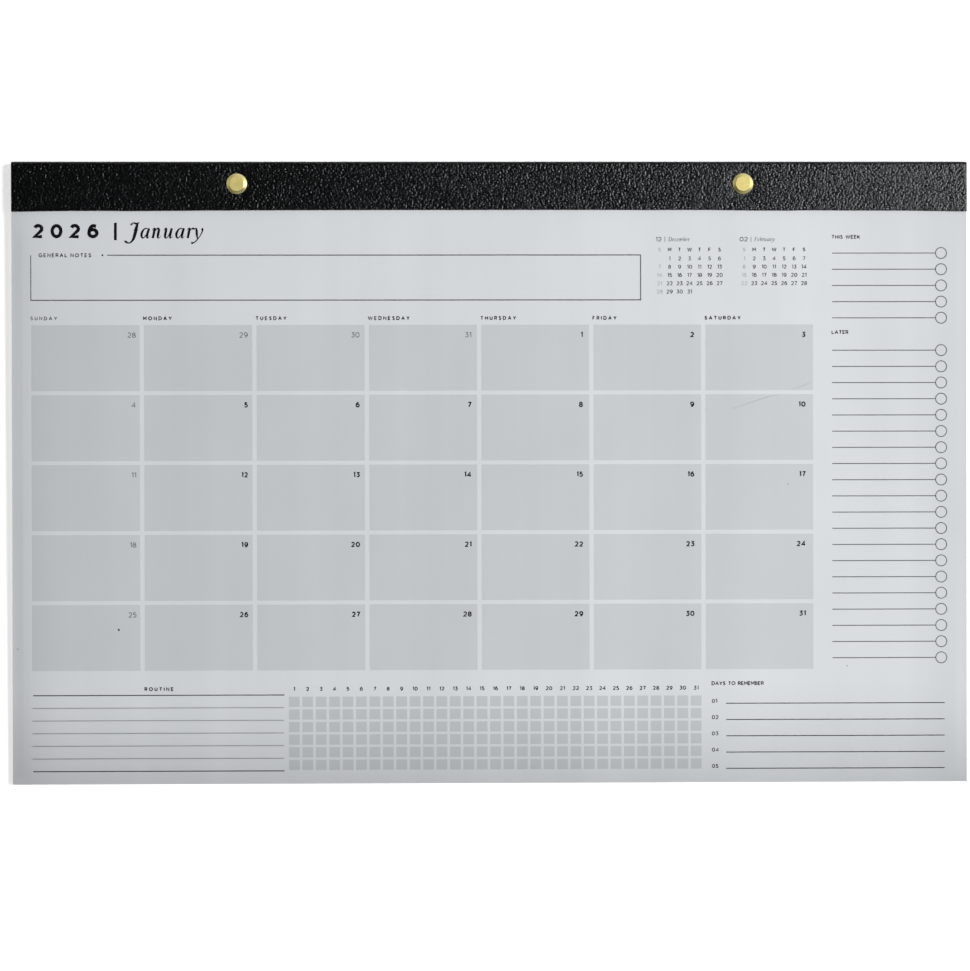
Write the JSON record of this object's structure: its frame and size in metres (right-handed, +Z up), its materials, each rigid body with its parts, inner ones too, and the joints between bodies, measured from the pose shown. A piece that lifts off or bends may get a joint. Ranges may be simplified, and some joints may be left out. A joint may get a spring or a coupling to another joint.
{
  "type": "desk pad calendar",
  "caption": "Flat pad of monthly planner sheets on a board, held under a folded black header band by brass binding posts.",
  "frame": {"origin": "under the middle of the calendar, at the level of the post screws' undersides", "axes": "+X along the width to the reader's right, +Y towards the header, +Z up off the desk"},
  "size_m": [0.4318, 0.2812, 0.0074],
  "materials": {
    "chipboard": "grey-brown uncoated chipboard with short fibres",
    "printed_paper": "matt uncoated paper, cool off-white, printed in greys and near-black",
    "leatherette": "black coated leatherette with a fine pebble grain and a soft sheen",
    "post_brass": "bright pale brass plate, turned, with a rounded rim"
  },
  "bodies": {
    "root": {"backing_board": "chipboard", "sheet_pad": "printed_paper", "header_cover": "leatherette", "post_barrel_left": "post_brass", "post_barrel_right": "post_brass", "post_screw_left": "post_brass", "post_screw_right": "post_brass"}
  },
  "joints": []
}
